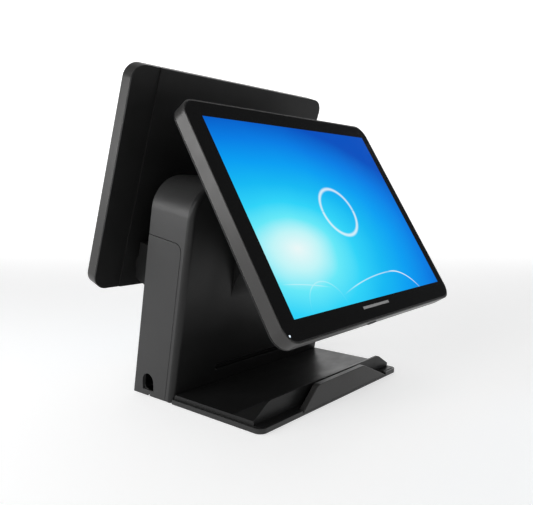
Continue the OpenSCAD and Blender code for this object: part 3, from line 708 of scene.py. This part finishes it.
def head(prefix, towards):
    """One head: its band, glass, display, housing, panel, arm and screws."""
    place = head_frame(prefix, towards)
    band = bezel(prefix, place)
    border = glass_border(prefix, place)
    if prefix == "operator":
        combined(band, button_opening(place), "DIFFERENCE")
        combined(border, lens_opening(place), "DIFFERENCE")
    panel = display_panel(prefix, place)
    for piece, node in ((band, "bezel"), (border, "glass"), (panel, "lcd")):
        smoothed(piece)
        dressed(piece, prefix + "_" + node)
    refined(prefix + "_housing", 0.9 * MM)
    refined(prefix + "_panel", 0.5 * MM)
    refined(prefix + "_arm", 0.5 * MM)
    refined(prefix + "_screws", 0.3 * MM)


for side, looks in GLASS_SIDES.items():
    head(side, looks)


# ---------- column ----------

def column_frame():
    """The column's frame: X along it, Y square to its face towards the customer, Z along its lean."""
    back = -facing("column_front", Vector((0, -1, 0)))
    across = Vector((1, 0, 0))
    return Matrix((across, back, across.cross(back))).transposed().to_4x4()


def arch(half, bottom, top, radius, inset):
    """Points of an upright outline with two round top corners, drawn in from its edge."""
    middle = (half - radius, top - radius)
    points = [(half - inset, bottom)]
    points += turned(middle, radius - inset, 0.0, math.pi / 2, ARCH_STEPS)
    return points + [(-x, z) for x, z in reversed(points)]


def stadium(half_length, half_height, z, grow):
    """Points of a long outline with round ends, grown past its edge."""
    middle = half_length - half_height
    radius = half_height + grow
    right = turned((middle, z), radius, -math.pi / 2, math.pi, CORNER_STEPS)
    left = turned((-middle, z), radius, math.pi / 2, math.pi, CORNER_STEPS)
    return right + left


def slot_height(place):
    """Height of the slot's middle in the column's frame."""
    foot = place.inverted() @ Vector((0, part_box("column_shell")[1].y, 0))
    return foot.z + SLOT_HEIGHT


def slot_rings(height, stages):
    """Rings of the slot's outline, each with its own growth and depth along Y."""
    return [[(x, y, z) for x, z in stadium(*SLOT_HALF, height, grow)] for grow, y in stages]


def cap_body(place, low, high):
    """The cover without its slot: a rounded edge all round and a hollow back, run on below its foot."""
    face, back = low.y, high.y
    bottom = low.z - CAP_OVERRUN

    def ring(inset, y):
        return [(x, y, z) for x, z in arch(high.x, bottom, high.z, COLUMN_RADIUS, inset)]

    outside = [ring(inset, face + drop) for inset, drop in fillet(CAP_FILLET, CAP_FILLET_STEPS)]
    inner_fillet = fillet(CAP_FILLET - CAP_WALL)
    inside = [ring(CAP_WALL + inset, face + CAP_WALL + drop) for inset, drop in reversed(inner_fillet)]
    return skin("column_cap", inside + [ring(CAP_WALL, back), ring(0.0, back)] + outside, place)


def below(height):
    """A cutter for everything under a level height."""
    corners = ((-1, -1), (1, -1), (1, 1), (-1, 1))
    return skin("cutter", [raised(corners, z) for z in (-1, height)], Matrix.Identity(4))


def slot_shade_mask(face, height):
    """A mask for the inside of the slot, from a little behind the cover's face: where shade is painted."""
    reach = [(half + room) / MM for half, room in zip(SLOT_HALF, PIT_ROOM)]

    def pit_shade(tree):
        x, y, z = axes_in_mm(tree)
        deep = ranged(tree, y, (face + PIT_START) / MM, (face + PIT_END) / MM, 0.0, 1.0)
        return calc(tree, "MULTIPLY", deep, box_mask(tree, x, z, (0, height / MM), reach))

    return pit_shade


def column_cap():
    """The glossy front cover: a hollow body cut off at the foot, and the speaker slot in a liner."""
    place = column_frame()
    low, high = span("column_front", place)
    face = low.y
    cap = cap_body(place, low, high)
    combined(cap, below(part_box("column_front")[0].z), "DIFFERENCE")
    height = slot_height(place)
    liner = ((SLOT_LINER, face + MM), (SLOT_LINER, face + SLOT_DEPTH + SLOT_LINER))
    combined(cap, skin("cutter", slot_rings(height, liner), place), "UNION")
    mouth = ((SLOT_CHAMFER + MM, face - MM), (0.0, face + SLOT_CHAMFER), (0.0, face + SLOT_DEPTH))
    combined(cap, skin("cutter", slot_rings(height, mouth), place), "DIFFERENCE")
    smoothed(cap)
    dressed(cap, "column_front")
    # The inside of the slot gets painted shade: near-black and matte.
    pit_shade = slot_shade_mask(face, height)
    cap.data.materials[0] = satin_black("gloss_black_cap", 0.009, 0.24, 0.33, 0.43, pit_shade)


column_cap()
refined("column_shell", 0.6 * MM)
refined("column_rear", 0.5 * MM)
refined("side_cover_left", 0.6 * MM)
refined("side_cover_right", 0.6 * MM)
refined("operator_neck", 1.6 * MM, 4)
refined("customer_neck", 1.0 * MM)

# ---------- base ----------

refined("base_plate", 0.7 * MM)
refined("base_deck", 0.9 * MM, 4)
refined("front_lip", 0.9 * MM, 4)
refined("rubber_feet", 0.4 * MM)

# ---------- small fittings ----------

for fitting, width in (("operator_bracket", 0.5), ("customer_bracket", 0.5), ("operator_shaft", 0.4),
                       ("customer_shaft", 0.4), ("hinge_nuts", 0.5), ("hinge_washers", 0.15),
                       ("power_button", 0.5), ("status_lens", 0.2), ("base_screws", 0.2)):
    refined(fitting, width * MM)

# ---------- inner parts, shown by their CAD nodes ----------

for node, thing in NODES.items():
    if not thing.hide_render:
        for slot in thing.material_slots:
            slot.material = MATERIALS[SLOT_OF[node]]


# ---------- studio ----------

def floor():
    """A large pale floor that curves up far behind the terminal."""
    profile = [(FLOOR_NEAR, 0.0)]
    profile += turned((FLOOR_FAR, FLOOR_CURVE), FLOOR_CURVE, -math.pi / 2, math.pi / 2, ARCH_STEPS)
    profile += [(FLOOR_FAR + FLOOR_CURVE, FLOOR_TOP)]
    bm = bmesh.new()
    rows = [[bm.verts.new((x, y, z)) for x in (-FLOOR_HALF, FLOOR_HALF)] for y, z in profile]
    for first, second in zip(rows, rows[1:]):
        face = bm.faces.new((first[0], first[1], second[1], second[0]))
        face.smooth = True
    piece = placed(bm, "studio_floor", Matrix.Rotation(-CAMERA_YAW, 4, "Z"))
    material, tree, shader = surface("studio_paper", gray(0.48), 0.9)
    varied(tree, shader, gray(0.47), gray(0.49), 0.85, 0.95, 3.0)
    bumped(tree, shader, noise(tree, 400.0), 0.05 * MM, 0.3)
    split = tree.nodes.new("ShaderNodeSeparateXYZ")
    tree.links.new(coordinates(tree), split.inputs[0])
    glow = ranged(tree, split.outputs[1], 0.5, 2.6, 0.64, 0.97, smooth=True)
    tree.links.new(glow, shader.inputs["Emission Strength"])
    shader.inputs["Emission Color"].default_value = (1, 1, 1, 1)
    piece.data.materials.append(material)


def soft_box(name, at, size, power, target=(0.0, 0.0, 0.15)):
    """A soft studio light that looks at the terminal."""
    light = bpy.data.lights.new(name, "AREA")
    light.shape = "RECTANGLE"
    light.size, light.size_y = size
    light.energy = power
    lamp = bpy.data.objects.new(name, light)
    lamp.location = at
    lamp.rotation_euler = (Vector(target) - Vector(at)).to_track_quat("-Z", "Y").to_euler()
    bpy.context.scene.collection.objects.link(lamp)


def sky():
    """A pale world that is bright near the horizon and dim overhead."""
    world = bpy.data.worlds.new("studio_world")
    world.use_nodes = True
    tree = world.node_tree
    background = tree.nodes["Background"]
    background.inputs["Color"].default_value = (0.95, 0.97, 1.0, 1)
    split = tree.nodes.new("ShaderNodeSeparateXYZ")
    tree.links.new(tree.nodes.new("ShaderNodeTexCoord").outputs["Generated"], split.inputs[0])
    strength = ranged(tree, split.outputs[2], 0.03, 0.27, 0.92, 0.07, smooth=True)
    tree.links.new(strength, background.inputs["Strength"])
    bpy.context.scene.world = world


def lights():
    """The studio's lights, with powers in watts."""
    soft_box("key", at=(-1.7, 0.1, 0.9), size=(1.2, 1.0), power=15.0)
    soft_box("front", at=(-0.9, -1.8, 0.7), size=(1.2, 0.9), power=8.0)
    soft_box("side_glint", at=(-0.80, 0.56, 0.36), size=(0.35, 0.30), power=2.4, target=(-0.17, 0.03, 0.33))
    soft_box("floor_wash", at=(0.3, 0.3, 2.6), size=(2.0, 2.0), power=8.0)


def camera():
    """The camera, level from side to side, with its picture shifted a little."""
    data = bpy.data.cameras.new("camera")
    data.lens = CAMERA_LENS
    data.sensor_width = CAMERA_SENSOR
    data.shift_x = CAMERA_SHIFT
    data.clip_start, data.clip_end = 0.02, 60.0
    thing = bpy.data.objects.new("camera", data)
    thing.location = CAMERA_AT
    thing.rotation_euler = (math.pi / 2 + CAMERA_PITCH, 0.0, -CAMERA_YAW)
    bpy.context.scene.collection.objects.link(thing)
    bpy.context.scene.camera = thing


camera()
floor()
sky()
lights()
bpy.context.scene.view_settings.view_transform = "Standard"
